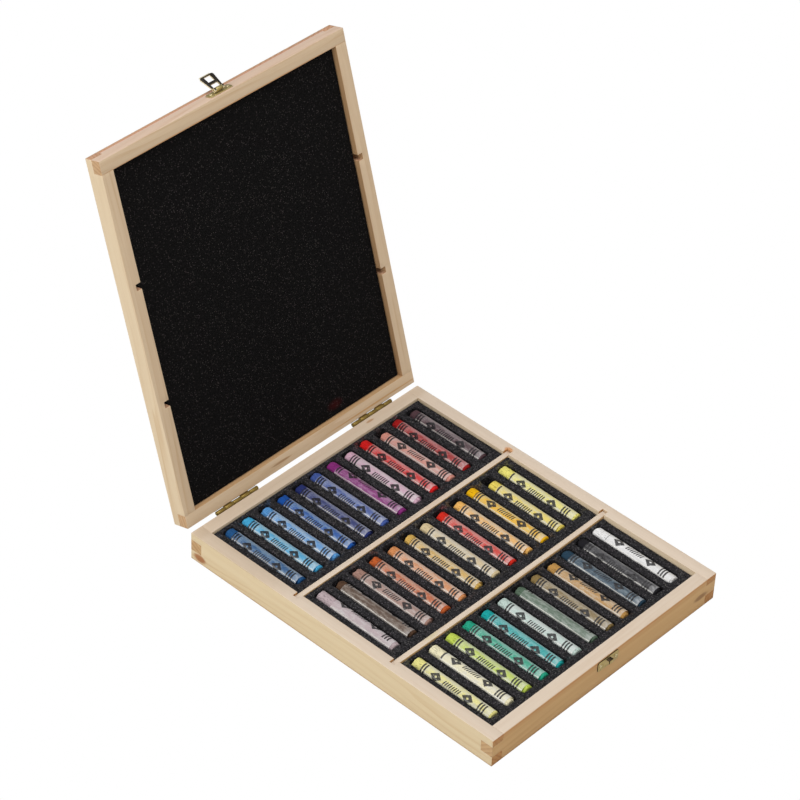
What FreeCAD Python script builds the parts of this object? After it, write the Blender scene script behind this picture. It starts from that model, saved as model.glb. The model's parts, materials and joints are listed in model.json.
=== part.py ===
"""A hinged wooden box of soft pastels: finger-jointed base and lid, three foam trays and thirty-six sticks.

The box is made closed and stored open.  +X is to the right seen from the latch side, +Y runs to the
hinges and +Z is up.  The origin is the middle of the base's underside.  Sizes are millimetres.
"""
import FreeCAD, Part
import math
import os
import re

import Sketcher

SIZES = {
    # base, lid and their joints
    "box_width": 210.0,
    "box_depth": 258.0,
    "board_thick": 9.2,
    "panel_thick": 3.0,
    "panel_lap": 4.5,
    "rim_gap": 0.3,
    "lid_open": 107.0,
    # dividers and the grooves that hold them
    "middle_bay_extra": 1.4,
    "divider_thick": 3.8,
    "divider_drop": 1.4,
    "groove_depth": 4.0,
    "groove_play": 0.25,
    "groove_end_play": 0.5,
    # foam
    "foam_play": 0.3,
    "foam_floor": 6.0,
    "lid_foam_thick": 6.0,
    "back_recess": 2.2,
    "middle_recess": 3.1,
    "front_recess": 3.9,
    "lid_foam_recess": 3.8,
    "slot_play": 0.3,
    "slot_end_play": 0.8,
    "slot_corner": 2.0,
    "slot_end_wall": 5.1,
    "row_margin": 3.4,
    # sticks
    "stick_diameter": 9.2,
    "sleeve_thick": 0.12,
    "stick_proud": 0.9,
    "sticks_per_row": 12.0,
    "row_right": 0.1,
    "row_back": 2.25,
    "bare_back": 7.0,
    "bare_front": 2.4,
    "worn_back": 1.4,
    "worn_front": 0.5,
    # hinges
    "hinge_length": 36.8,
    "hinge_spread": 125.1,
    "axis_back": 1.7,
    "axis_drop": 0.3,
    "barrel_diameter": 2.8,
    "hinge_pin_diameter": 1.4,
    "pin_play": 0.05,
    "pin_end": 0.3,
    "leaf_thick": 0.8,
    "leaf_reach": 10.0,
    "knuckle_gap": 0.3,
    # nails
    "nail_head_diameter": 2.6,
    "nail_head_height": 0.6,
    "nail_diameter": 1.2,
    "nail_length": 6.0,
    "nail_hole_play": 0.1,
    "leaf_nail_edge": 6.0,
    "plate_nail_edge": 2.6,
    # latch on the lid and catch on the base
    "plate_width": 19.3,
    "plate_thick": 0.6,
    "plate_corner": 1.5,
    "latch_plate_height": 6.0,
    "latch_plate_lift": 1.8,
    "latch_axis_up": 4.8,
    "latch_axis_out": 2.3,
    "latch_barrel_diameter": 2.8,
    "latch_pin_diameter": 1.2,
    "latch_knuckle": 5.0,
    "loop_raise": 147.0,
    "loop_width": 11.2,
    "loop_neck": 8.0,
    "loop_reach": 12.0,
    "loop_thick": 0.8,
    "loop_end_rail": 0.9,
    "loop_corner": 1.4,
    "loop_window": 4.6,
    "loop_crossbar": 2.0,
    "loop_lip": 1.3,
    "catch_plate_height": 7.5,
    "catch_plate_drop": 1.0,
    "hook_width": 3.6,
    "hook_out": 3.3,
    "hook_lip": 1.8,
    "hook_thick": 0.7,
    "hook_play": 1.2,
    "hook_side_play": 0.7,
}

# Values worked out from the sizes; each may use the ones above it.
DERIVED = {
    "half_width": "(box_width / 2)",
    "half_depth": "(box_depth / 2)",
    "stick_radius": "(stick_diameter / 2)",
    "mean_bay": "((box_depth - 2 * board_thick - 2 * divider_thick) / 3)",
    "middle_bay": "(mean_bay + middle_bay_extra)",
    "end_bay": "(mean_bay - middle_bay_extra / 2)",
    "tray_step": "(middle_bay / 2 + divider_thick + end_bay / 2)",
    "row_step": "(mean_bay + divider_thick)",
    "divider_place": "((middle_bay + divider_thick) / 2)",
    "slot_width": "(stick_diameter + 2 * sleeve_thick + 2 * slot_play)",
    "slot_length": "(mean_bay - 2 * slot_end_wall)",
    "slot_depth": "(stick_diameter - stick_proud + slot_play)",
    "stick_length": "(slot_length - 2 * slot_end_play)",
    "stick_pitch": "((box_width - 2 * board_thick - 2 * row_margin) / sticks_per_row)",
    "first_stick": "(row_right - stick_pitch * (sticks_per_row - 1) / 2)",
    "base_height": "(panel_thick + foam_floor + slot_depth + front_recess)",
    "low_finger": "(base_height * 0.36)",
    "middle_finger": "(base_height * 0.39)",
    "lid_height": "(panel_thick + lid_foam_thick + lid_foam_recess)",
    "lid_rim_finger": "(lid_height * 0.56)",
    "axis_y": "(half_depth + axis_back)",
    "axis_z": "(base_height - axis_drop)",
    # the lid's own frame has its origin on the hinge axis
    "lid_front": "(-axis_back - box_depth)",
    "lid_back": "(-axis_back)",
    "lid_middle": "(-axis_back - half_depth)",
    "lid_rim": "(axis_drop + rim_gap)",
    "lid_top": "(lid_rim + lid_height)",
    "lid_ceiling": "(lid_top - panel_thick)",
    "leaf_start": "(barrel_diameter / 2 + knuckle_gap)",
    "leaf_length": "(leaf_reach - leaf_start)",
    "leaf_nail_spread": "(hinge_length - 2 * leaf_nail_edge)",
    "leaf_nail_drop": "((leaf_start + leaf_reach) / 2)",
    "plate_nail_spread": "(plate_width - 2 * plate_nail_edge)",
    "knuckle_pitch": "(hinge_length / 5)",
    "knuckle_length": "(knuckle_pitch - knuckle_gap)",
    "latch_y": "(lid_front - latch_axis_out)",
    "latch_z": "(lid_rim + latch_axis_up)",
    "window_end": "(loop_reach - loop_end_rail)",
    "window_start": "(window_end - loop_window)",
    "neck_end": "(window_start - loop_crossbar)",
    "hook_low": "(base_height + rim_gap + latch_axis_up - window_end + hook_play)",
    "catch_top": "(base_height - catch_plate_drop)",
    "catch_middle": "(catch_top - catch_plate_height / 2)",
    "latch_plate_middle": "(lid_rim + latch_plate_lift + latch_plate_height / 2)",
}

ROWS = (("back", 1, "back_recess", "end_bay"), ("middle", 0, "middle_recess", "middle_bay"),
        ("front", -1, "front_recess", "end_bay"))
# Sticks that are worn shorter than the others, by row and place from the left, in millimetres.
WORN_SHORT = {
    ("back", 3): 1.2, ("back", 4): 1.2, ("back", 5): 1.5, ("back", 8): 1.2, ("back", 10): 3.7,
    ("back", 12): 1.9, ("middle", 2): 1.6, ("middle", 3): 1.6, ("middle", 4): 1.2, ("middle", 5): 2.7,
    ("middle", 6): 2.1, ("middle", 7): 1.5, ("middle", 8): 1.9, ("middle", 9): 2.5, ("middle", 11): 5.0,
    ("front", 5): 1.0, ("front", 6): 1.2, ("front", 7): 1.9, ("front", 8): 1.2, ("front", 9): 1.9,
}
HINGES = (-1, 1)

doc = FreeCAD.newDocument("pastel_box")
sheet = doc.addObject("Spreadsheet::Sheet", "sizes")
for row_number, (alias, value) in enumerate(SIZES.items(), start=1):
    sheet.set(f"A{row_number}", alias)
    sheet.set(f"B{row_number}", str(value))
    sheet.setAlias(f"B{row_number}", alias)
doc.recompute()
nodes = []


def formula(text):
    """The text with derived names written out and every size tied to its cell."""
    while any(word in DERIVED for word in re.findall(r"[a-z_]+", text)):
        text = re.sub(r"[a-z_]+", lambda found: DERIVED.get(found[0], found[0]), text)
    return re.sub(r"[a-z_]+", lambda found: "sizes." + found[0] if found[0] in SIZES else found[0], text)


def bind(thing, **formulas):
    """Ties properties of an object to formulas; x, y and z are its place."""
    for name, text in formulas.items():
        path = ".Placement.Base." + name if name in ("x", "y", "z") else name
        thing.setExpression(path, formula(text))
    return thing


def turn(thing, axis, degrees):
    thing.Placement = FreeCAD.Placement(FreeCAD.Vector(), FreeCAD.Rotation(FreeCAD.Vector(*axis), degrees))
    return thing


def box(name, x, y, z, length, width, height):
    block = doc.addObject("Part::Box", name)
    return bind(block, x=x, y=y, z=z, Length=length, Width=width, Height=height)


def rod(name, axis, x, y, z, radius, length):
    """A cylinder that starts at x, y, z and runs along +X, +Y or -Y."""
    turns = {"+X": ((0, 1, 0), 90), "+Y": ((1, 0, 0), -90), "-Y": ((1, 0, 0), 90)}
    cylinder = turn(doc.addObject("Part::Cylinder", name), *turns[axis])
    return bind(cylinder, x=x, y=y, z=z, Radius=radius, Height=length)


def cone(name, axis, x, y, z, near, far, length):
    """A cone with its near radius at x, y, z, which runs along +Y or -Y."""
    frustum = turn(doc.addObject("Part::Cone", name), (1, 0, 0), -90 if axis == "+Y" else 90)
    return bind(frustum, x=x, y=y, z=z, Radius1=near, Radius2=far, Height=length)


def fused(name, pieces):
    union = doc.addObject("Part::MultiFuse", name)
    union.Shapes = pieces
    union.Refine = True
    return union


def cut(name, solid, tools):
    """The solid with the tools taken away."""
    result = doc.addObject("Part::Cut", name)
    result.Base = solid
    result.Tool = tools[0] if len(tools) == 1 else fused(name + "_tools", tools)
    result.Refine = True
    return result


def keep(thing, node):
    """Names an object as a sub-part of its own."""
    thing.Label = node
    nodes.append(thing)
    return thing


def on_lid(thing):
    """Places a piece that was made in the lid's frame on the open lid."""
    turn(thing, (-1, 0, 0), SIZES["lid_open"])
    thing.setExpression(".Placement.Rotation.Angle", formula("lid_open"))
    return bind(thing, y="axis_y", z="axis_z")


def plane(body, role):
    return next(feature for feature in body.Origin.OriginFeatures if feature.Role == role)


def sketch_on(body, role, name, height=None):
    """A sketch on one of the body's own planes, raised by a formula."""
    sketch = body.newObject("Sketcher::SketchObject", name)
    sketch.AttachmentSupport = [(plane(body, role), "")]
    sketch.MapMode = "FlatFace"
    if height:
        sketch.setExpression(".AttachmentOffset.Base.z", formula(height))
    return sketch


def dimension(sketch, kind, name, text, *points):
    """A driving dimension, tied to a formula."""
    index = sketch.addConstraint(Sketcher.Constraint(kind, *points, value_of(text)))
    sketch.renameConstraint(index, name)
    sketch.setExpression("Constraints." + name, formula(text))


def value_of(text):
    """A formula's value now, worked out in a spare cell of the sheet."""
    spare = "D1"
    sheet.set(spare, "=" + formula(text).replace("sizes.", ""))
    sheet.recompute()
    value = float(sheet.get(spare))
    sheet.clear(spare)
    return value


def rectangle(sketch, tag, left, right, bottom, top):
    """Four lines whose sides lie at the four formulas, measured from the sketch's origin."""
    x0, x1, y0, y1 = (value_of(text) for text in (left, right, bottom, top))
    corners = [FreeCAD.Vector(x, y, 0) for x, y in ((x0, y0), (x1, y0), (x1, y1), (x0, y1))]
    first = sketch.GeometryCount
    for side in range(4):
        sketch.addGeometry(Part.LineSegment(corners[side], corners[(side + 1) % 4]), False)
    for side in range(4):
        sketch.addConstraint(Sketcher.Constraint("Coincident", first + side, 2, first + (side + 1) % 4, 1))
    for side in range(4):
        sketch.addConstraint(Sketcher.Constraint("Horizontal" if side % 2 == 0 else "Vertical", first + side))
    dimension(sketch, "DistanceX", tag + "_left", left, -1, 1, first, 1)
    dimension(sketch, "DistanceX", tag + "_right", right, -1, 1, first + 1, 1)
    dimension(sketch, "DistanceY", tag + "_bottom", bottom, -1, 1, first, 1)
    dimension(sketch, "DistanceY", tag + "_top", top, -1, 1, first + 2, 1)


def rounded_rectangle(sketch, tag, left, right, bottom, top, corner):
    """Four lines joined by four tangent arcs of one radius."""
    x0, x1, y0, y1, r = (value_of(text) for text in (left, right, bottom, top, corner))
    line_ends = (
        ((x0 + r, y0), (x1 - r, y0)), ((x1, y0 + r), (x1, y1 - r)),
        ((x1 - r, y1), (x0 + r, y1)), ((x0, y1 - r), (x0, y0 + r)),
    )
    centres = ((x1 - r, y0 + r), (x1 - r, y1 - r), (x0 + r, y1 - r), (x0 + r, y0 + r))
    first = sketch.GeometryCount
    for start, end in line_ends:
        sketch.addGeometry(Part.LineSegment(FreeCAD.Vector(*start, 0), FreeCAD.Vector(*end, 0)), False)
    for quarter, centre in enumerate(centres):
        circle = Part.Circle(FreeCAD.Vector(*centre, 0), FreeCAD.Vector(0, 0, 1), r)
        start = math.radians(90 * quarter - 90)
        sketch.addGeometry(Part.ArcOfCircle(circle, start, start + math.pi / 2), False)
    for side in range(4):
        arc = first + 4 + side
        sketch.addConstraint(Sketcher.Constraint("Tangent", first + side, 2, arc, 1))
        sketch.addConstraint(Sketcher.Constraint("Tangent", arc, 2, first + (side + 1) % 4, 1))
        sketch.addConstraint(Sketcher.Constraint("Horizontal" if side % 2 == 0 else "Vertical", first + side))
    for side in range(1, 4):
        sketch.addConstraint(Sketcher.Constraint("Equal", first + 4, first + 4 + side))
    dimension(sketch, "Radius", tag + "_corner", corner, first + 4)
    dimension(sketch, "DistanceX", tag + "_left", left, -1, 1, first + 3, 1)
    dimension(sketch, "DistanceX", tag + "_right", right, -1, 1, first + 1, 1)
    dimension(sketch, "DistanceY", tag + "_bottom", bottom, -1, 1, first, 1)
    dimension(sketch, "DistanceY", tag + "_top", top, -1, 1, first + 2, 1)


def polygon(sketch, tag, points):
    """Straight lines through points, each at two formulas, measured from the sketch's origin."""
    places = [FreeCAD.Vector(value_of(across), value_of(up), 0) for across, up in points]
    count = len(places)
    first = sketch.GeometryCount
    for side in range(count):
        sketch.addGeometry(Part.LineSegment(places[side], places[(side + 1) % count]), False)
    for side in range(count):
        sketch.addConstraint(Sketcher.Constraint("Coincident", first + side, 2, first + (side + 1) % count, 1))
    for side, (across, up) in enumerate(points):
        dimension(sketch, "DistanceX", f"{tag}_across_{side}", across, -1, 1, first + side, 1)
        dimension(sketch, "DistanceY", f"{tag}_up_{side}", up, -1, 1, first + side, 1)


def circle(sketch, tag, radius):
    sketch.addGeometry(Part.Circle(FreeCAD.Vector(), FreeCAD.Vector(0, 0, 1), value_of(radius)), False)
    last = sketch.GeometryCount - 1
    sketch.addConstraint(Sketcher.Constraint("Coincident", last, 3, -1, 1))
    dimension(sketch, "Radius", tag + "_radius", radius, last)


# ---- base -------------------------------------------------------------------------------------


def panel_space(name):
    """The room that the bottom panel takes out of the base boards."""
    reach_x = "(half_width - board_thick + panel_lap)"
    reach_y = "(half_depth - board_thick + panel_lap)"
    return box(name, "-" + reach_x, "-" + reach_y, "0", "2 * " + reach_x, "2 * " + reach_y, "panel_thick")


def base_side(node, side):
    """A side board: it ends in a low and a high finger, and two grooves hold the dividers."""
    left = "-half_width" if side < 0 else "half_width - board_thick"
    plank = box(node + "_plank", left, "-half_depth", "0", "board_thick", "box_depth", "base_height")
    tools = [panel_space(node + "_rebate")]
    for end, start in (("front", "-half_depth"), ("back", "half_depth - board_thick")):
        tools.append(box(f"{node}_{end}_notch", left, start, "low_finger",
                         "board_thick", "board_thick", "middle_finger"))
    inner = "-half_width + board_thick - groove_depth" if side < 0 else "half_width - board_thick"
    for place in (-1, 1):
        start = f"{place} * divider_place - divider_thick / 2 - groove_play"
        tools.append(box(f"{node}_groove_{place + 2}", inner, start, "panel_thick", "groove_depth",
                         "divider_thick + 2 * groove_play", "base_height - panel_thick"))
    keep(cut(node + "_cut", plank, tools), node)


def base_end(node, side):
    """The front or back board: a middle finger at each end."""
    near = "-half_depth" if side < 0 else "half_depth - board_thick"
    plank = box(node + "_plank", "-half_width", near, "0", "box_width", "board_thick", "base_height")
    tools = [panel_space(node + "_rebate")]
    above = "low_finger + middle_finger"
    for end, start in (("left", "-half_width"), ("right", "half_width - board_thick")):
        tools.append(box(f"{node}_{end}_low", start, near, "0", "board_thick", "board_thick", "low_finger"))
        tools.append(box(f"{node}_{end}_high", start, near, above, "board_thick", "board_thick",
                         f"base_height - ({above})"))
    keep(cut(node + "_cut", plank, tools), node)


def dividers():
    """Two thin strips across the base, held in the side boards' grooves."""
    reach = "(half_width - board_thick + groove_depth - groove_end_play)"
    strips = []
    for place in (-1, 1):
        start = f"{place} * divider_place - divider_thick / 2"
        strips.append(box(f"divider_strip_{place + 2}", "-" + reach, start, "panel_thick", "2 * " + reach,
                          "divider_thick", "base_height - panel_thick - divider_drop"))
    pair = doc.addObject("Part::Compound", "divider_pair")
    pair.Links = strips
    keep(pair, "base_dividers")


def foam_tray(row, place, recess, bay):
    """A foam block that fills one bay, with a straight-sided slot for each stick."""
    node = f"foam_tray_{row}"
    body = doc.addObject("PartDesign::Body", node)
    thickness = f"(base_height - panel_thick - {recess})"
    row_at = f"({place} * (row_step - tray_step) + row_back)"
    outline = sketch_on(body, "XY_Plane", node + "_outline")
    side = "(half_width - board_thick - foam_play)"
    end = f"({bay} / 2 - foam_play)"
    rectangle(outline, "block", "-" + side, side, "-" + end, end)
    block = body.newObject("PartDesign::Pad", node + "_block")
    block.Profile = outline
    block.setExpression("Length", formula(thickness))
    doc.recompute()
    whole = block.Shape.Volume
    mouth = sketch_on(body, "XY_Plane", node + "_mouth", thickness)
    rounded_rectangle(mouth, "slot", "first_stick - slot_width / 2", "first_stick + slot_width / 2",
                      row_at + " - slot_length / 2", row_at + " + slot_length / 2", "slot_corner")
    slot = body.newObject("PartDesign::Pocket", node + "_slot")
    slot.Profile = mouth
    slot.setExpression("Length", formula("slot_depth"))
    doc.recompute()
    if slot.Shape.Volume >= whole:
        raise RuntimeError(node + ": the slot cuts nothing")
    row_of_slots = body.newObject("PartDesign::LinearPattern", node + "_slots")
    row_of_slots.Originals = [slot]
    row_of_slots.Direction = (mouth, ["H_Axis"])
    row_of_slots.setExpression("Length", formula("stick_pitch * (sticks_per_row - 1)"))
    row_of_slots.setExpression("Occurrences", formula("sticks_per_row"))
    body.Tip = row_of_slots
    bind(body, y=f"{place} * tray_step", z="panel_thick")
    keep(body, node)


def base():
    base_side("base_side_left", -1)
    base_side("base_side_right", 1)
    base_end("base_front_board", -1)
    base_end("base_back_board", 1)
    keep(panel_space("bottom_sheet"), "base_bottom_panel")
    dividers()
    for row, place, recess, bay in ROWS:
        foam_tray(row, place, recess, bay)


# ---- sticks -----------------------------------------------------------------------------------


def stick(row, place, recess, number):
    """A pastel stick: bare worn ends and a paper sleeve that stands slightly proud."""
    node = f"pastel_{row}_{number:02d}"
    short = WORN_SHORT.get((row, number), 0.0)
    front = "(-stick_length / 2)"
    back = f"(stick_length / 2 - {short})"
    core = rod(node + "_core", "+Y", "0", front + " + worn_front", "0", "stick_radius",
               f"{back} - {front} - worn_front - worn_back")
    face = cone(node + "_face", "-Y", "0", front + " + worn_front", "0",
                "stick_radius", "stick_radius - worn_front", "worn_front")
    tip = cone(node + "_tip", "+Y", "0", back + " - worn_back", "0",
               "stick_radius", "stick_radius - worn_back", "worn_back")
    sleeve = rod(node + "_sleeve", "+Y", "0", front + " + bare_front", "0", "stick_radius + sleeve_thick",
                 f"{back} - bare_back - ({front} + bare_front)")
    whole = fused(node + "_stick", [core, face, tip, sleeve])
    bind(whole, x=f"first_stick + {number - 1} * stick_pitch", y=f"{place} * row_step + row_back",
         z=f"base_height - {recess} + stick_proud - stick_radius")
    keep(whole, node)


def sticks():
    for row, place, recess, _ in ROWS:
        for number in range(1, int(SIZES["sticks_per_row"]) + 1):
            stick(row, place, recess, number)


# ---- lid, in its own frame with the origin on the hinge axis ----------------------------------


def lid_side(node, side):
    left = "-half_width" if side < 0 else "half_width - board_thick"
    plank = box(node + "_plank", left, "lid_front", "lid_rim", "board_thick", "box_depth", "lid_height")
    tools = []
    for end, start in (("front", "lid_front"), ("back", "lid_back - board_thick")):
        tools.append(box(f"{node}_{end}_notch", left, start, "lid_rim", "board_thick", "board_thick",
                         "lid_rim_finger"))
    inner = "-half_width + board_thick - groove_depth" if side < 0 else "half_width - board_thick"
    for place in (-1, 1):
        start = f"lid_middle + {place} * divider_place - divider_thick / 2 - groove_play"
        tools.append(box(f"{node}_groove_{place + 2}", inner, start, "lid_rim", "groove_depth",
                         "divider_thick + 2 * groove_play", "lid_height - panel_thick"))
    keep(on_lid(cut(node + "_cut", plank, tools)), node)


def lid_end(node, side):
    near = "lid_front" if side < 0 else "lid_back - board_thick"
    plank = box(node + "_plank", "-half_width", near, "lid_rim", "box_width", "board_thick",
                "lid_height - panel_thick")
    tools = []
    for end, start in (("left", "-half_width"), ("right", "half_width - board_thick")):
        tools.append(box(f"{node}_{end}_notch", start, near, "lid_rim + lid_rim_finger",
                         "board_thick", "board_thick", "lid_height - lid_rim_finger"))
    keep(on_lid(cut(node + "_cut", plank, tools)), node)


def lid():
    lid_side("lid_side_left", -1)
    lid_side("lid_side_right", 1)
    lid_end("lid_front_board", -1)
    lid_end("lid_back_board", 1)
    panel = box("lid_sheet", "-half_width + board_thick", "lid_front", "lid_ceiling",
                "box_width - 2 * board_thick", "box_depth", "panel_thick")
    keep(on_lid(held("lid_panel_piece", panel)), "lid_panel")
    margin = "(board_thick + foam_play)"
    foam = box("lid_foam_sheet", "-half_width + " + margin, "lid_front + " + margin,
               "lid_rim + lid_foam_recess", "box_width - 2 * " + margin, "box_depth - 2 * " + margin,
               "lid_foam_thick")
    keep(on_lid(held("lid_foam_piece", foam)), "lid_foam")


def held(name, block):
    """Holds a plain block in a compound, so that the lid's placement can be set apart from its own."""
    holder = doc.addObject("Part::Compound", name)
    holder.Links = [block]
    return holder


# ---- hinges -----------------------------------------------------------------------------------


def leaf_set(node, own_knuckles, up, y, z):
    """Both hinges' leaves for one half of the box; up is 1 for the lid's leaves and -1 for the base's."""
    pieces = []
    tools = []
    for hinge in HINGES:
        tag = f"{node}_{hinge + 2}"
        left = f"({hinge} * hinge_spread / 2 - hinge_length / 2)"
        low = "leaf_start" if up > 0 else "-leaf_reach"
        pieces.append(box(tag + "_plate", left, f"{y} - axis_back", f"{z} + {low}",
                          "hinge_length", "leaf_thick", "leaf_length"))
        for number in own_knuckles:
            start = f"{left} + {number} * knuckle_pitch + knuckle_gap / 2"
            pieces.append(rod(f"{tag}_knuckle_{number}", "+X", start, y, z, "barrel_diameter / 2",
                              "knuckle_length"))
            tab_low = "0" if up > 0 else "-leaf_start"
            pieces.append(box(f"{tag}_tab_{number}", start, f"{y} - axis_back + knuckle_gap",
                              f"{z} + {tab_low}", "knuckle_length", "leaf_thick - knuckle_gap", "leaf_start"))
        tools.append(rod(tag + "_bore", "+X", left, y, z, "hinge_pin_diameter / 2 + pin_play",
                         "hinge_length"))
        for nail in (-1, 1):
            tools.append(rod(f"{tag}_hole_{nail + 2}", "+Y",
                             f"{hinge} * hinge_spread / 2 + {nail} * leaf_nail_spread / 2",
                             f"{y} - axis_back", f"{z} + {up} * leaf_nail_drop",
                             "nail_diameter / 2 + nail_hole_play", "leaf_thick"))
    return cut(node + "_cut", fused(node + "_blank", pieces), tools)


def hinges():
    keep(leaf_set("hinge_base_leaves", (0, 2, 4), -1, "axis_y", "axis_z"), "hinge_base_leaves")
    keep(on_lid(leaf_set("hinge_lid_leaves", (1, 3), 1, "0", "0")), "hinge_lid_leaves")
    pins = doc.addObject("Part::Compound", "hinge_pin_pair")
    pins.Links = [
        rod(f"hinge_pin_{hinge + 2}", "+X", f"{hinge} * hinge_spread / 2 - hinge_length / 2 - pin_end",
            "axis_y", "axis_z", "hinge_pin_diameter / 2", "hinge_length + 2 * pin_end")
        for hinge in HINGES
    ]
    keep(pins, "hinge_pins")


# ---- nails ------------------------------------------------------------------------------------


def nail(name, out, x, y, z):
    """A small round-headed nail; out is the way its head faces, and y is the face it bears on."""
    inward = "-Y" if out == "+Y" else "+Y"
    shank = rod(name + "_shank", inward, x, y, z, "nail_diameter / 2", "nail_length")
    head = cone(name + "_head", out, x, y, z, "nail_head_diameter / 2", "nail_head_diameter / 3",
                "nail_head_height")
    return fused(name, [shank, head])


def leaf_nails(tag, y, z):
    made = []
    for hinge in HINGES:
        for side in (-1, 1):
            made.append(nail(f"{tag}_{hinge + 2}_{side + 2}", "+Y",
                             f"{hinge} * hinge_spread / 2 + {side} * leaf_nail_spread / 2", y, z))
    return made


def plate_nails(tag, y, z):
    return [nail(f"{tag}_{side + 2}", "-Y", f"{side} * plate_nail_spread / 2", y, z) for side in (-1, 1)]


def nails():
    in_base = doc.addObject("Part::Compound", "nails_in_base")
    in_base.Links = (leaf_nails("base_leaf_nail", "half_depth + leaf_thick", "axis_z - leaf_nail_drop")
                     + plate_nails("catch_nail", "-half_depth - plate_thick", "catch_middle"))
    keep(in_base, "base_nails")
    in_lid = doc.addObject("Part::Compound", "nails_in_lid")
    in_lid.Links = (leaf_nails("lid_leaf_nail", "lid_back + leaf_thick", "leaf_nail_drop")
                    + plate_nails("latch_nail", "lid_front - plate_thick", "latch_plate_middle"))
    keep(on_lid(in_lid), "lid_nails")


# ---- latch ------------------------------------------------------------------------------------


def plate_holes(tag, y, z):
    return [rod(f"{tag}_hole_{side + 2}", "-Y", f"{side} * plate_nail_spread / 2", y, z,
                "nail_diameter / 2 + nail_hole_play", "plate_thick") for side in (-1, 1)]


def plate_sheet(name, face, low, height):
    """A thin upright plate with rounded corners, with its back against the face."""
    body = doc.addObject("PartDesign::Body", name)
    outline = sketch_on(body, "XZ_Plane", name + "_outline")
    rounded_rectangle(outline, "edge", "-plate_width / 2", "plate_width / 2", "0", height, "plate_corner")
    sheet_metal = body.newObject("PartDesign::Pad", name + "_metal")
    sheet_metal.Profile = outline
    sheet_metal.SideType = "Symmetric"
    sheet_metal.setExpression("Length", formula("plate_thick"))
    return bind(body, y=face + " - plate_thick / 2", z=low)


def catch_plate():
    """The base's half of the latch: a plate with a tab bent out and turned down."""
    face = "-half_depth"
    plate = plate_sheet("catch_sheet", face, "catch_top - catch_plate_height", "catch_plate_height")
    tab = box("catch_tab", "-hook_width / 2", face + " - hook_out", "hook_low + hook_lip",
              "hook_width", "hook_out", "hook_thick")
    lip = box("catch_lip", "-hook_width / 2", face + " - hook_out", "hook_low",
              "hook_width", "hook_thick", "hook_lip + hook_thick")
    keep(cut("catch_plate_cut", fused("catch_blank", [plate, tab, lip]),
             plate_holes("catch", face, "catch_middle")), "catch_plate")


def latch_plate():
    """The lid's half of the latch: a plate with one rolled knuckle at its middle."""
    plate = plate_sheet("latch_sheet", "lid_front", "lid_rim + latch_plate_lift", "latch_plate_height")
    barrel = rod("latch_knuckle_roll", "+X", "-latch_knuckle / 2", "latch_y", "latch_z",
                 "latch_barrel_diameter / 2", "latch_knuckle")
    neck = box("latch_neck", "-latch_knuckle / 2", "latch_y", "latch_z",
               "latch_knuckle", "latch_axis_out", "latch_barrel_diameter / 2")
    bore = rod("latch_bore", "+X", "-latch_knuckle / 2", "latch_y", "latch_z", "latch_pin_diameter / 2",
               "latch_knuckle")
    tools = [bore] + plate_holes("latch", "lid_front", "latch_plate_middle")
    keep(on_lid(cut("latch_plate_cut", fused("latch_blank", [plate, barrel, neck]), tools)), "latch_plate")


def latch_pin():
    pin = rod("latch_pin_rod", "+X", "-loop_neck / 2", "latch_y", "latch_z", "latch_pin_diameter / 2",
              "loop_neck")
    keep(on_lid(held("latch_pin_piece", pin)), "latch_pin")


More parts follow.
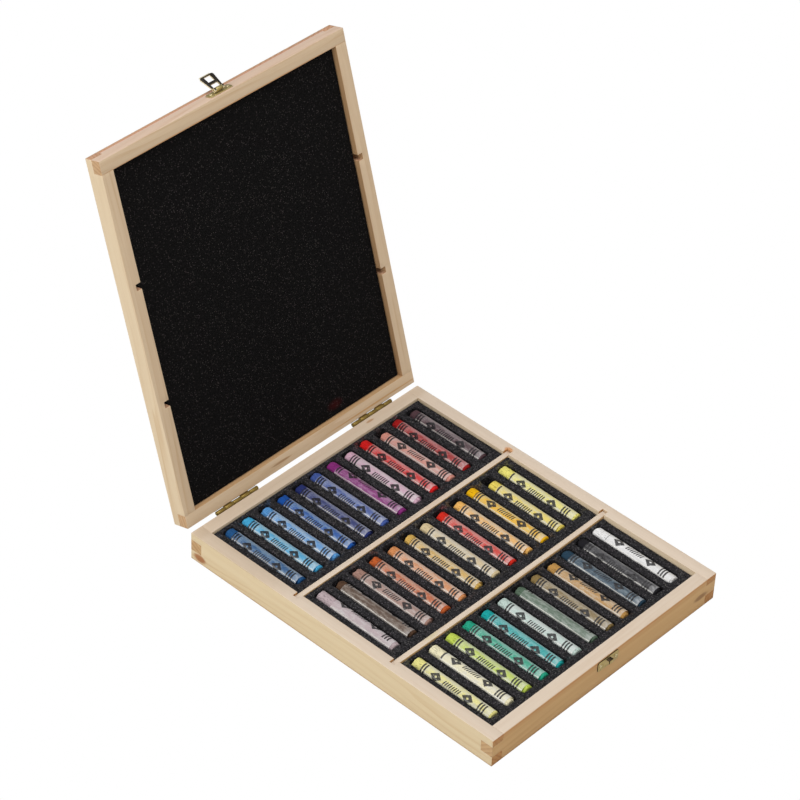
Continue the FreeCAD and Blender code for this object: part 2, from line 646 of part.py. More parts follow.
def latch_loop():
    """The swinging loop, made hanging from its pin: a frame with two windows, two knuckles and a lip."""
    body = doc.addObject("PartDesign::Body", "latch_loop")
    outline = sketch_on(body, "XZ_Plane", "loop_outline")
    rounded_rectangle(outline, "frame", "-loop_width / 2", "loop_width / 2", "-loop_reach", "0",
                      "loop_corner")
    frame = body.newObject("PartDesign::Pad", "loop_frame")
    frame.Profile = outline
    frame.SideType = "Symmetric"
    frame.setExpression("Length", formula("loop_thick"))
    bend = sketch_on(body, "YZ_Plane", "loop_bend")
    outer, inner, end = "-loop_thick / 2", "loop_thick / 2", "-loop_reach"
    polygon(bend, "lip", ((outer, end), (inner, end), (inner + " - loop_lip", end + " - loop_lip"),
                          (outer + " - loop_lip", end + " - loop_lip")))
    lip = body.newObject("PartDesign::Pad", "loop_finger_lip")
    lip.Profile = bend
    lip.SideType = "Symmetric"
    lip.setExpression("Length", formula("loop_width - 2 * loop_corner"))
    openings = sketch_on(body, "XZ_Plane", "loop_openings")
    window = "(hook_width / 2 + hook_side_play)"
    neck = "(latch_knuckle / 2 + knuckle_gap)"
    rectangle(openings, "window", "-" + window, window, "-window_end", "-window_start")
    rectangle(openings, "neck", "-" + neck, neck, "-neck_end", "loop_corner")
    shoulder, top = "loop_corner - loop_reach", "latch_barrel_diameter / 2"
    for tag, side in (("left_taper", "-1"), ("right_taper", "1")):
        wide, narrow = side + " * loop_width / 2", side + " * loop_neck / 2"
        polygon(openings, tag, ((wide, shoulder), (narrow, top), (wide, top)))
    windows = body.newObject("PartDesign::Pocket", "loop_windows")
    windows.Profile = openings
    windows.Type = "ThroughAll"
    windows.SideType = "Symmetric"
    ring = sketch_on(body, "YZ_Plane", "loop_ring")
    circle(ring, "roll", "latch_barrel_diameter / 2")
    barrel = body.newObject("PartDesign::Pad", "loop_barrel")
    barrel.Profile = ring
    barrel.SideType = "Symmetric"
    barrel.setExpression("Length", formula("loop_neck"))
    middle = sketch_on(body, "YZ_Plane", "loop_middle")
    circle(middle, "room", "latch_barrel_diameter / 2 + knuckle_gap")
    gap = body.newObject("PartDesign::Pocket", "loop_gap")
    gap.Profile = middle
    gap.SideType = "Symmetric"
    gap.setExpression("Length", formula("latch_knuckle + 2 * knuckle_gap"))
    hole = sketch_on(body, "YZ_Plane", "loop_hole")
    circle(hole, "bore", "latch_pin_diameter / 2 + pin_play")
    bore = body.newObject("PartDesign::Pocket", "loop_bore")
    bore.Profile = hole
    bore.Type = "ThroughAll"
    bore.SideType = "Symmetric"
    body.Tip = bore
    turn(body, (-1, 0, 0), SIZES["lid_open"] + SIZES["loop_raise"])
    body.setExpression(".Placement.Rotation.Angle", formula("lid_open + loop_raise"))
    bind(body, y="axis_y + latch_y * cos(lid_open) + latch_z * sin(lid_open)",
         z="axis_z - latch_y * sin(lid_open) + latch_z * cos(lid_open)")
    keep(body, "latch_loop")


def latch():
    catch_plate()
    latch_plate()
    latch_pin()
    latch_loop()


# ---- check and export -------------------------------------------------------------------------


def check_and_export():
    doc.recompute()
    for thing in doc.Objects:
        if "Invalid" in thing.State or "Error" in thing.State:
            raise RuntimeError(f"{thing.Name} failed: {thing.State}")
    for thing in nodes:
        if thing.Shape.isNull() or not thing.Shape.isValid() or not thing.Shape.Solids:
            raise RuntimeError(f"{thing.Label} has no valid solid")
    os.makedirs("parts", exist_ok=True)
    for thing in nodes:
        thing.Shape.exportStep(f"parts/{thing.Label}.step")
        size = thing.Shape.BoundBox
        print(f"{thing.Label}: {len(thing.Shape.Solids)} solid(s), {thing.Shape.Volume:.1f} mm3, "
              f"{size.XLength:.1f} x {size.YLength:.1f} x {size.ZLength:.1f}")
    print(len(nodes), "nodes")


base()
sticks()
lid()
hinges()
nails()
latch()
check_and_export()
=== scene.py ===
"""The looks of a hinged pine box of soft pastels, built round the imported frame.  Metres throughout."""

import colorsys
import json
import math
import random

import bmesh
import bpy
import numpy as np
from mathutils import Matrix, Vector, noise


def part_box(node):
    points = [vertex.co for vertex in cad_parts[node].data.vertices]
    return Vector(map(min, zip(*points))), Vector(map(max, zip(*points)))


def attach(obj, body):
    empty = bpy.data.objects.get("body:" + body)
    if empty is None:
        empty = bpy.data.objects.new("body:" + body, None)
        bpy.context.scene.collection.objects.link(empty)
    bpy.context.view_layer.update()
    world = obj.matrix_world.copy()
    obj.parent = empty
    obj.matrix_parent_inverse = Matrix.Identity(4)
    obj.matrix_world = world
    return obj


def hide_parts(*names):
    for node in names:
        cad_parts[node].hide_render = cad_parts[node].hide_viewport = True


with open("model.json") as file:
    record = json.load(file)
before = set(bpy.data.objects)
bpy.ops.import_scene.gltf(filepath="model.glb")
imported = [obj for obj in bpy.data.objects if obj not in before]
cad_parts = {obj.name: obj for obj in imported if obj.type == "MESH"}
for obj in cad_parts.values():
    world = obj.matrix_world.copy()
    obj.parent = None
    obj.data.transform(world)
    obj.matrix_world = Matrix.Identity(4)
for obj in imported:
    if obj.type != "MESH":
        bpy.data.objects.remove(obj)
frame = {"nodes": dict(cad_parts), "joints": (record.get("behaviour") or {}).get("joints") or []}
noise.seed_set(1)
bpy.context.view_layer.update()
MM = 0.001
JOINTS = {joint["name"]: joint for joint in frame["joints"]}
HINGE = Vector(JOINTS["lid_hinge"]["pos_m"])
HINGE_LINE = Vector(JOINTS["lid_hinge"]["axis"])
CLOSED_ANGLE = math.radians(JOINTS["lid_hinge"]["range_deg"][0])
BOX_LOW, BOX_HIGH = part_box("base_front_board")[0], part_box("base_back_board")[1]
BOX_WIDTH = BOX_HIGH.x - BOX_LOW.x

# Each pigment as a maker would describe it: hue in degrees, strength and brightness.
PIGMENTS = {
    "petrol": (210, 0.8, 0.5),
    "cyan": (200, 0.7, 0.8),
    "sky": (210, 0.6, 0.8),
    "azure": (215, 0.9, 0.6),
    "ultramarine": (230, 0.7, 0.4),
    "periwinkle": (225, 0.6, 0.6),
    "purple": (310, 0.7, 0.5),
    "pink": (330, 0.2, 0.8),
    "scarlet": (0, 0.9, 0.8),
    "salmon": (10, 0.4, 0.8),
    "crimson": (0, 0.9, 0.6),
    "plum": (345, 0.3, 0.3),
    "mauve": (345, 0.1, 0.7),
    "umber": (25, 0.5, 0.3),
    "dusky": (15, 0.3, 0.6),
    "russet": (20, 0.8, 0.7),
    "amber": (25, 0.6, 0.8),
    "honey": (40, 0.6, 0.8),
    "cream": (40, 0.3, 0.8),
    "vermilion": (5, 0.9, 0.8),
    "peach": (35, 0.6, 0.9),
    "gold": (45, 1.0, 0.9),
    "yellow": (50, 0.6, 0.9),
    "lemon": (55, 0.5, 0.9),
    "primrose": (55, 0.4, 0.9),
    "ivory": (50, 0.2, 0.9),
    "lime": (70, 0.6, 0.8),
    "green": (165, 0.8, 0.6),
    "teal": (180, 0.9, 0.6),
    "mint": (160, 0.1, 0.8),
    "sage": (130, 0.2, 0.4),
    "olive": (40, 0.5, 0.5),
    "ochre": (35, 0.6, 0.7),
    "slate": (205, 0.6, 0.3),
    "black": (250, 0.2, 0.1),
    "white": (0, 0.0, 0.9),
}
PAPER_GREY = 206
# The sticks of each row, from the left.
ROWS = {
    "back": ("petrol", "cyan", "sky", "azure", "ultramarine", "periwinkle", "purple", "pink", "scarlet",
             "salmon", "crimson", "plum"),
    "middle": ("mauve", "umber", "dusky", "russet", "amber", "honey", "cream", "vermilion", "peach", "gold",
               "yellow", "lemon"),
    "front": ("primrose", "ivory", "lime", "green", "teal", "mint", "sage", "olive", "ochre", "slate",
              "black", "white"),
}
# Most prints face up and to the left; these have rolled. Degrees from straight up.
USUAL_FACING = -33
ROLLED = {"mauve": 30, "umber": 55, "sage": 65, "purple": 10, "ivory": 10, "ochre": 10, "slate": 0,
          "white": 0, "dusky": -10, "salmon": -10, "gold": -15}
# Most sleeves leave 5 to 8 mm of the back end bare; these have slipped. Whole millimetres.
SLIPPED = {"mauve": 13, "white": 11, "ivory": 10, "lemon": 10}
STICKS_PER_ROW = len(ROWS["back"])
STICK_SIDES = 56
# How far a stick's back end rests above its front end, in mm.
STICK_LIFT = 0.37
# The print is laid out round this radius, in mm.
PRINT_RADIUS = 4.7
# How far each tray has lifted at its back, in mm: evenly from its front edge, and more at the very edge.
TRAY_TILT = {"back": 0.1, "middle": 1.0, "front": 0.6}
TRAY_CURL = {"back": 0.8, "middle": 0.6, "front": 1.2}
TRAYS = {row: [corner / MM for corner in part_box(f"foam_tray_{row}")] for row in ROWS}
FRONT_DIVIDER = (TRAYS["front"][1].y + TRAYS["middle"][0].y) / 2
# The front divider bows forward by this much in the middle, over this half span; mm, like its reach.
DIVIDER_BOW = 0.6
DIVIDER_HALF_SPAN = 95.0
BOW_REACH = 7.0
SLEEVE_THICK = 0.12
# Foam stands this far inside the CAD block, in mm, so that its wandering walls stay within it.
FOAM_INSET = 0.17
# Boards are cut across their length at this step, in mm.
CUT_STEP = 6

# Painted light and shade of the wood: a lit or shaded colour for the faces that look left, right, front,
# back, down and up in the closed box.
BASE_FACE_LIGHT = ((221, 203, 168), (219, 201, 168), (212, 175, 124), (216, 196, 158), (214, 194, 158),
              (221, 205, 187))
LID_FACE_LIGHT = ((221, 202, 172), (218, 198, 168), (216, 191, 171), (216, 194, 160), (219, 196, 166),
             (219, 198, 168))
# Painted light and shade of the inner walls: lighter in the base, a shaded orange in the lid.
BASE_INNER_LIGHT = (224, 205, 176)
LID_INNER_SHADE = (198, 160, 118)
# Marks in the wood, with painted shade and shadow among them, in mm of the closed box: centre, half size,
# colour, strength.
BASE_MARKS_AND_SHADE = (
    ((-105, 121, 4.5), (2, 5.5, 3), (158, 98, 52), 0.9),
    ((91, -129, 10), (7, 1.5, 2.2), (120, 78, 44), 0.6),
    # Painted shade along the rounded top edge of the front face.
    ((0, -129, 20.3), (160, 1.5, 0.6), (196, 120, 70), 0.65),
    ((0, -129, 18.5), (150, 1.5, 2.4), (196, 146, 92), 0.4),
    # Painted shade along the bottom edges of the front and left faces.
    ((0, -129, 0.2), (160, 1.2, 1.0), (150, 100, 55), 0.6),
    ((-105, 0, 0.2), (1.2, 180, 0.9), (170, 120, 74), 0.6),
    # Painted shadow of the open lid on the left and back rims.
    ((-100.4, 95, 21.5), (7, 48, 1.5), (188, 166, 138), 0.4),
    ((0, 124.4, 21.5), (150, 7, 1.5), (188, 166, 138), 0.4),
    ((99.5, 42, 21.5), (2.6, 3.2, 1.6), (206, 140, 78), 0.8),
    ((55.5, 125.7, 21.5), (3.6, 1.0, 1.2), (170, 120, 74), 0.7),
    ((-64, -41, 19.5), (7, 2.5, 1.5), (204, 196, 132), 0.3),
)
LID_MARKS_AND_SHADE = (
    ((0, -129, 31.6), (150, 1.5, 0.35), (206, 138, 118), 0.8),
    # Painted shade along the back board's rounded outer edge on the rim.
    ((65, 126, 21.8), (45, 0.7, 1.5), (196, 146, 86), 0.7),
    ((-20, 124.4, 21.8), (9, 0.8, 1.5), (150, 104, 60), 0.6),
    ((100.5, 85, 21.8), (0.8, 28, 1.5), (188, 150, 106), 0.25),
    # Painted shade along the front board's rounded inner edge.
    ((0, -120, 21.6), (110, 0.7, 1.6), (206, 148, 88), 0.7),
)


def srgb(red, green, blue):
    """A colour given as 0 to 255 in sRGB, as the linear values that Blender takes."""
    linear = [((c / 255 + 0.055) / 1.055) ** 2.4 if c > 10 else c / 255 / 12.92 for c in (red, green, blue)]
    return (*linear, 1.0)


def pigment_tone(name):
    """A pigment's bare colour, 0 to 255 in sRGB."""
    hue, strength, brightness = PIGMENTS[name]
    return [255 * c for c in colorsys.hsv_to_rgb(hue / 360, strength, brightness)]


def sleeve_tone(name):
    """The pigment seen through its paper, which a dark one shows through more."""
    paper = 0.35 + 0.3 * PIGMENTS[name][2]
    return [PAPER_GREY * paper + c * (1 - paper) for c in pigment_tone(name)]


# ---- shaders ------------------------------------------------------------------------------------


class Value:
    """A shader value. Arithmetic on it adds the math nodes that work it out."""

    def __init__(self, shader, socket):
        self.shader = shader
        self.socket = socket

    def __add__(self, other):
        return self.shader.math("ADD", self, other)

    def __radd__(self, other):
        return self.shader.math("ADD", other, self)

    def __sub__(self, other):
        return self.shader.math("SUBTRACT", self, other)

    def __rsub__(self, other):
        return self.shader.math("SUBTRACT", other, self)

    def __mul__(self, other):
        return self.shader.math("MULTIPLY", self, other)

    def __rmul__(self, other):
        return self.shader.math("MULTIPLY", other, self)

    def __truediv__(self, other):
        return self.shader.math("DIVIDE", self, other)

    def __abs__(self):
        return self.shader.math("ABSOLUTE", self)

    def __gt__(self, other):
        return self.shader.math("GREATER_THAN", self, other)

    def __lt__(self, other):
        return self.shader.math("LESS_THAN", self, other)


class Shader:
    """A material whose node tree is written as expressions."""

    def __init__(self, name):
        self.material = bpy.data.materials.new(name)
        self.material.use_nodes = True
        self.tree = self.material.node_tree
        self.tree.nodes.clear()

    def node(self, kind, settings=(), **inputs):
        """Adds a node: its settings first, then its inputs, by name or, as in1, by place."""
        made = self.tree.nodes.new("ShaderNode" + kind)
        for name, value in dict(settings).items():
            setattr(made, name, value)
        for name, value in inputs.items():
            place = int(name[2:]) if name[:2] == "in" and name[2:].isdigit() else name.replace("_", " ")
            socket = made.inputs[place]
            if isinstance(value, Value):
                self.tree.links.new(value.socket, socket)
            elif value is not None:
                socket.default_value = value
        return made

    def out(self, made, place=0):
        return Value(self, made.outputs[place])

    def math(self, operation, *values):
        inputs = {f"in{place}": value for place, value in enumerate(values)}
        return self.out(self.node("Math", {"operation": operation}, **inputs))

    def most(self, *values):
        """The largest of several values."""
        largest = values[0]
        for value in values[1:]:
            largest = self.math("MAXIMUM", largest, value)
        return largest

    def attribute(self, name):
        return self.out(self.node("Attribute", {"attribute_name": name}), "Vector")

    def colour_attribute(self, name):
        return self.out(self.node("Attribute", {"attribute_name": name}), "Color")

    def number_attribute(self, name):
        return self.out(self.node("Attribute", {"attribute_name": name}), "Fac")

    def xyz(self, vector):
        split = self.node("SeparateXYZ", in0=vector)
        return [self.out(split, place) for place in range(3)]

    def scaled(self, vector, x, y, z):
        return self.out(self.node("VectorMath", {"operation": "MULTIPLY"}, in0=vector, in1=(x, y, z)))

    def away(self, place, centre, size):
        """How far a place is from a centre, in shares of the half sizes."""
        offset = self.out(self.node("VectorMath", {"operation": "SUBTRACT"}, in0=place, in1=centre))
        shares = self.out(self.node("VectorMath", {"operation": "DIVIDE"}, in0=offset, in1=size))
        return self.out(self.node("VectorMath", {"operation": "LENGTH"}, in0=shares), "Value")

    def noise(self, vector, scale=1.0, detail=2.0, roughness=0.5):
        return self.out(self.node("TexNoise", Vector=vector, Scale=scale, Detail=detail, Roughness=roughness))

    def cells(self, vector, scale):
        """Distance from the nearest of many scattered points, and a colour of each point's own."""
        made = self.node("TexVoronoi", Vector=vector, Scale=scale)
        return self.out(made, "Distance"), self.out(made, "Color")

    def rise(self, value, low, high, start=0.0, end=1.0):
        """Goes smoothly from start at low to end at high."""
        made = self.node("MapRange", {"interpolation_type": "SMOOTHSTEP"}, Value=value, From_Min=low,
                         From_Max=high, To_Min=start, To_Max=end)
        return self.out(made)

    def mix(self, factor, first, second, blend="MIX"):
        made = self.node("Mix", {"data_type": "RGBA", "blend_type": blend}, in0=factor, in6=first, in7=second)
        return self.out(made, 2)

    def steps(self, value, colours):
        """Equal flat bands of colour over 0 to 1."""
        made = self.node("ValToRGB", Fac=value)
        ramp = made.color_ramp
        ramp.interpolation = "CONSTANT"
        ramp.elements[0].color = colours[0]
        ramp.elements[1].position = 1 / len(colours)
        ramp.elements[1].color = colours[1]
        for place in range(2, len(colours)):
            ramp.elements.new(place / len(colours)).color = colours[place]
        return self.out(made)

    def bump(self, height, distance, strength=1.0):
        return self.out(self.node("Bump", Strength=strength, Distance=distance, Height=height))

    def surface(self, colour, roughness, normal=None, **constants):
        """The finished material, with Principled inputs by name."""
        body = self.node("BsdfPrincipled", Base_Color=colour, Roughness=roughness, Normal=normal, **constants)
        output = self.node("OutputMaterial")
        self.tree.links.new(body.outputs[0], output.inputs["Surface"])
        return self.material


def wood(name, contrast, marks_and_shade):
    """Pale pine. "board" is mm along the grain and from the tree's heart, "spot" is mm in the closed box."""
    s = Shader(name)
    place = s.attribute("board")
    spot = s.attribute("spot")
    # The "tint" attribute is each face's wood colour with light and shade painted in by the way it faces.
    own = s.colour_attribute("tint")
    _, across, inward = s.xyz(place)
    wander = s.noise(s.scaled(place, 0.005, 0.02, 0.02), detail=1.0) * 26
    radius = s.math("SQRT", across * across + inward * inward) + wander
    ring = s.math("FRACT", radius / 4.3 + s.noise(s.scaled(place, 0.0, 0.12, 0.12)) * 1.6)
    late = s.rise(ring, 0.35, 0.93) * s.rise(ring, 1.0, 0.95)
    patchy = s.rise(s.noise(s.scaled(place, 0.006, 0.05, 0.05)), 0.4, 0.65)
    fibre = s.noise(s.scaled(place, 0.05, 2.2, 2.2), detail=3.0, roughness=0.65)
    band = s.noise(s.scaled(place, 0.006, 0.25, 0.25))
    grain = late * patchy * contrast + (fibre - 0.5) * 0.5 + (band - 0.5) * 0.5
    colour = s.mix(s.rise(grain, -0.25, 1.0), own, s.mix(1.0, own, (0.72, 0.56, 0.38, 1.0), "MULTIPLY"))
    rim = s.rise(s.math("FRACT", radius / 2.6), 0.3, 0.95)
    ends = s.mix(rim, (0.76, 0.58, 0.42, 1.0), (0.6, 0.4, 0.27, 1.0))
    colour = s.mix(s.number_attribute("end_grain") * 0.85, colour, s.mix(1.0, colour, ends, "MULTIPLY"))
    ragged = (fibre - 0.5) * 0.9
    # Marks in the wood, and painted shade and shadow laid on in the same way.
    for centre, size, tone, strength in marks_and_shade:
        covered = s.rise(s.away(spot, centre, size) + ragged, 1.2, 0.6) * strength
        colour = s.mix(covered, colour, srgb(*tone))
    height = fibre * 0.6 + late * 0.3
    return s.surface(colour, s.rise(fibre, 0.2, 0.8, 0.66, 0.54), s.bump(height, 0.0001, 0.4),
                     Specular_IOR_Level=0.28)


def foam(name, dark, light, speck, cover, row=None):
    """Open-cell black foam with bright cell walls; round the slots' ends it holds dust of their sticks."""
    s = Shader(name)
    place = s.attribute("foam")
    x, y, _ = s.xyz(place)
    grit = s.noise(place, 0.9, detail=3.0, roughness=0.8)
    near, own = s.cells(place, 1.15)
    lit, _, _ = s.xyz(own)
    colour = s.mix(s.rise(grit, 0.38, 0.64), srgb(*dark), srgb(*light))
    sparkle = s.rise(near, 0.5, 0.18) * s.rise(lit, 1 - cover, 1 - cover / 4)
    tint = s.mix(0.2, srgb(*speck), s.mix(1.0, srgb(*speck), own, "MULTIPLY"))
    colour = s.mix(sparkle, colour, tint)
    if row:
        first, pitch, back, front = slot_lines(row)
        powders = [srgb(*pigment_tone(name)) for name in ROWS[row]]
        dust = s.steps((x - (first - pitch / 2)) / (STICKS_PER_ROW * pitch), powders)
        beside = s.rise(s.noise(s.scaled(place, 0.16, 0.16, 0.0)), 0.5, 0.68)
        near_back = s.rise(abs(y - back), 7.0, 0.5)
        near_front = s.rise(abs(y - front), 4.0, 0.5) * 0.5
        colour = s.mix((near_back + near_front) * beside * s.rise(grit, 0.4, 0.62) * 0.16, colour, dust)
    else:
        smudge = s.rise(s.away(place, (37, 112, 25), (9, 5, 9)), 1.0, 0.2)
        colour = s.mix(smudge * 0.18, colour, srgb(110, 12, 16))
    return s.surface(colour, 0.95, s.bump(grit + sparkle * 0.4, 0.0004, 0.6), Specular_IOR_Level=0.1)


def pigment():
    """Pressed chalk, in the stick's own colour."""
    s = Shader("chalk")
    place = s.attribute("stick")
    own = s.colour_attribute("pigment")
    powder = s.noise(place, 1.3, detail=3.0, roughness=0.7)
    scrape = s.noise(s.scaled(place, 1.6, 0.35, 1.6))
    colour = s.mix(s.rise(powder, 0.35, 0.75) * 0.35, own, srgb(255, 255, 255), "SOFT_LIGHT")
    colour = s.mix(s.rise(scrape, 0.5, 0.3) * 0.45, colour, srgb(60, 55, 55), "MULTIPLY")
    return s.surface(colour, 0.88, s.bump(powder * 0.6 + scrape, 0.00035, 0.8), Specular_IOR_Level=0.25)


def sleeve():
    """Thin glossy paper, clear where it lies tight on the pigment, with plain printed marks, a painted sheen
    on its far and near sides and a painted highlight line along its lower left side.
    """
    s = Shader("paper_sleeve")
    printed = s.attribute("printed")
    x, y, z = s.xyz(printed)
    # The unturned "round" place keeps the painted sheen and the painted highlight line on the same side of
    # every stick.
    right, _, up = s.xyz(s.attribute("round"))
    own = s.colour_attribute("paper")
    under = s.colour_attribute("pigment")
    turn = s.math("ARCTAN2", right, up) * math.degrees(1)
    flow = s.noise(s.scaled(printed, 0.42, 0.13, 0.42), detail=3.0, roughness=0.6)
    mottle = s.noise(s.scaled(printed, 1.3, 0.5, 1.3))
    # Painted sheen: the far and near sides of every sleeve go pale and show less pigment, whichever way the
    # stick has rolled; the sleeve is also paler towards both ends.
    loose_and_sheen = s.most(s.rise(turn, 8.0, 48.0), s.rise(turn, -42.0, -66.0) * 0.8,
                   s.rise(abs(y), 25.0, 30.5) * 0.6)
    tight = s.rise(flow + mottle * 0.35, 0.52, 0.76) * (1.0 - loose_and_sheen * 0.75)
    colour = s.mix(tight * 0.8, own, under)
    frost_and_sheen = loose_and_sheen * s.rise(mottle, 0.3, 0.65)
    colour = s.mix(frost_and_sheen * 0.5, colour, srgb(236, 236, 238))
    # A painted highlight: a thin pale line along the lower left side of every sleeve, whichever way the stick
    # has rolled.
    painted_highlight_line = s.rise(abs(turn + 50.0 + (flow - 0.5) * 14.0), 5.0, 2.0)
    colour = s.mix(painted_highlight_line * 0.55, colour, srgb(240, 236, 226))
    ink = marks(s, s.math("ARCTAN2", x, z) * PRINT_RADIUS, y)
    worn = s.rise(mottle, 0.22, 0.36)
    colour = s.mix(ink * worn * 0.95, colour, srgb(24, 22, 26))
    crinkle = s.noise(s.scaled(printed, 0.5, 0.22, 0.5))
    return s.surface(colour, s.rise(crinkle, 0.3, 0.7, 0.26, 0.4), s.bump(crinkle, 0.0005, 0.55),
                     Coat_Weight=0.4, Coat_Roughness=0.16, Specular_IOR_Level=0.45)


def marks(s, around, y):
    """Printed marks as a mask: three stripes by each end, a lozenge inside them and ticks between."""
    end = abs(y)
    stripes = s.rise(abs(s.math("FRACT", end / 2.1) - 0.5), 0.34, 0.24) * (end > 21.0) * (end < 27.3)
    shape = abs(end - 13.0) / 4.4 + abs(around) / 3.4
    lozenges = s.rise(shape, 1.05, 0.95) * s.rise(shape, 0.2, 0.28)
    slant = y + around * 0.35
    ticks = s.rise(abs(s.math("FRACT", slant / 1.7) - 0.5), 0.32, 0.22) * (end < 6.8) * (abs(around) < 1.6)
    return s.most(stripes * (abs(around) < 4.2), lozenges, ticks)


def brass(name, face, edge, roughness, shine):
    """Plated sheet metal: its faces, and its marked edges in a painted colour of their own, a painted
    highlight on most pieces and darker on the catch plate.
    """
    s = Shader(name)
    place = s.scaled(s.out(s.node("TexCoord"), "Object"), 1000.0, 1000.0, 1000.0)
    cloud = s.noise(place, 0.5, detail=3.0)
    scratch = s.noise(s.scaled(place, 0.6, 7.0, 7.0))
    tarnished = s.mix(1.0, srgb(*face), srgb(200, 190, 160), "MULTIPLY")
    colour = s.mix(s.rise(cloud, 0.3, 0.75) * 0.5, srgb(*face), tarnished)
    # Painted highlight on the marked edges and sides; on the catch plate the same faces are painted darker.
    colour = s.mix(s.number_attribute("edge"), colour, srgb(*edge))
    dullness = s.rise(scratch, 0.3, 0.7, roughness, roughness + 0.2)
    return s.surface(colour, dullness, s.bump(scratch, 0.00006, 0.4), Metallic=shine)


def floor_look():
    """White to the camera; to everything else a pale matt table."""
    s = Shader("floor")
    seen = s.out(s.node("LightPath"), "Is Camera Ray")
    table = s.node("BsdfDiffuse", Color=srgb(226, 224, 221))
    white = s.node("Emission", Color=srgb(255, 255, 255))
    blend = s.node("MixShader", Fac=seen)
    s.tree.links.new(table.outputs[0], blend.inputs[1])
    s.tree.links.new(white.outputs[0], blend.inputs[2])
    output = s.node("OutputMaterial")
    s.tree.links.new(blend.outputs[0], output.inputs["Surface"])
    return s.material


# ---- meshes -------------------------------------------------------------------------------------


def add(name, mesh, material_list, body, slot, *nodes):
    """Puts a finished mesh in the scene: on its body, in place of its CAD nodes."""
    piece = bpy.data.objects.new(name, mesh)
    bpy.context.scene.collection.objects.link(piece)
    for material in material_list:
        mesh.materials.append(material)
    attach(piece, body)
    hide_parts(*nodes)
    return piece


def as_mesh(form, name, sharp):
    """The bmesh as a smooth-shaded mesh that stays sharp over the angle in degrees."""
    mesh = bpy.data.meshes.new(name)
    form.normal_update()
    form.to_mesh(mesh)
    form.free()
    for face in mesh.polygons:
        face.use_smooth = True
    mesh.set_sharp_from_angle(angle=math.radians(sharp))
    return mesh


def write_vectors(mesh, name, rows, domain="POINT"):
    layer = mesh.attributes.new(name, "FLOAT_VECTOR", domain)
    layer.data.foreach_set("vector", np.asarray(rows, np.float32).ravel())


def write_numbers(mesh, name, values, domain="POINT"):
    layer = mesh.attributes.new(name, "FLOAT", domain)
    layer.data.foreach_set("value", np.asarray(values, np.float32))


def vertex_places(mesh):
    return np.array([v.co for v in mesh.vertices]) / MM


def face_normals(mesh):
    return np.array([face.normal for face in mesh.polygons])


def closing():
    """Turns what is on the open lid back to where it lies when the lid is closed."""
    turn = Matrix.Rotation(CLOSED_ANGLE, 4, HINGE_LINE)
    return Matrix.Translation(HINGE) @ turn @ Matrix.Translation(-HINGE)


def cad_form(node, to_work):
    """A CAD node's mesh as a bmesh with its flat faces whole, moved into the working position."""
    form = bmesh.new()
    form.from_mesh(frame["nodes"][node].data)
    bmesh.ops.remove_doubles(form, verts=form.verts, dist=0.01 * MM)
    bmesh.ops.transform(form, matrix=to_work, verts=form.verts)
    bmesh.ops.dissolve_limit(form, angle_limit=math.radians(1.0), verts=form.verts, edges=form.edges)
    return form


def soften(form, edges, radius, segments):
    """Rounds edges off, with the radius in mm, and gives the new faces."""
    made = bmesh.ops.bevel(form, geom=edges, offset=radius * MM, segments=segments, profile=0.5,
                           affect="EDGES", clamp_overlap=True)
    return made["faces"]


def sharp_edges(form):
    return [edge for edge in form.edges if len(edge.link_faces) == 2
            and edge.calc_face_angle(0.0) > math.radians(50)]


def on_planes(edge, planes):
    """How many of the planes, each (axis, place), hold both ends of the edge."""
    return sum(all(abs(v.co[axis] - place) < 0.02 * MM for v in edge.verts) for axis, place in planes)


def divider_bow(x, y):
    """How far things at the front divider have bent forward, in mm."""
    near = max(0.0, 1.0 - abs(y - FRONT_DIVIDER) / BOW_REACH)
    return -DIVIDER_BOW * max(0.0, 1.0 - (x / DIVIDER_HALF_SPAN) ** 2) * min(1.0, 1.8 * near)


def painted_wood_light(normals, tints, inner, inner_tint):
    """Each face's colour with light and shade painted in, by the way that it looks in the closed box."""
    painted_tones = np.array([srgb(*tint)[:3] for tint in tints])
    if inner is not None:
        painted_tones[inner] = srgb(*inner_tint)[:3]
    looks = np.stack([sign * normals[:, axis] for axis in range(3) for sign in (-1, 1)], 1)
    weights = np.clip(looks, 0, 1) ** 3
    return weights @ painted_tones / weights.sum(1, keepdims=True)


def board(node, grain, outer, look, slot="pine_boards", inner=None, body="base", round_outer=0.35,
          round_rest=0.14):
    """A wooden piece: CAD shape with softened edges, and its grain and its painted light and shade written
    for the shader.
    """
    pick = random.Random(node)
    on_lid = body == "lid"
    to_work = closing() if on_lid else Matrix.Identity(4)
    form = cad_form(node, to_work)
    soften(form, [edge for edge in form.edges if on_planes(edge, outer) >= 2], round_outer, 4)
    soften(form, sharp_edges(form), round_rest, 2)
    split_long(form, grain, CUT_STEP * MM)
    if node == "base_dividers":
        for v in form.verts:
            v.co.y += divider_bow(v.co.x / MM, v.co.y / MM) * MM
    mesh = as_mesh(form, node + "_look", 35)
    places = vertex_places(mesh)
    middle = (places.min(0) + places.max(0)) / 2
    order = {0: (0, 1, 2), 1: (1, 2, 0)}[grain]
    heart = (pick.uniform(-900, 900), pick.uniform(-70, 70), pick.choice((-1, 1)) * pick.uniform(30, 80))
    write_vectors(mesh, "board", (places - middle)[:, order] + np.array(heart))
    write_vectors(mesh, "spot", places)
    normals = face_normals(mesh)
    # Painted light and shade: each face gets a lit or shaded colour by the way it faces, kept in "tint".
    tints, inner_tint = (LID_FACE_LIGHT, LID_INNER_SHADE) if on_lid else (BASE_FACE_LIGHT, BASE_INNER_LIGHT)
    painted_tones = painted_wood_light(normals, tints, inner, inner_tint)
    write_vectors(mesh, "tint", painted_tones, "FACE")
    write_numbers(mesh, "end_grain", np.clip(np.abs(normals[:, grain]) * 3 - 1.6, 0, 1), "FACE")
    mesh.transform(to_work.inverted())
    return add(node + "_look", mesh, [look], body, slot, node)


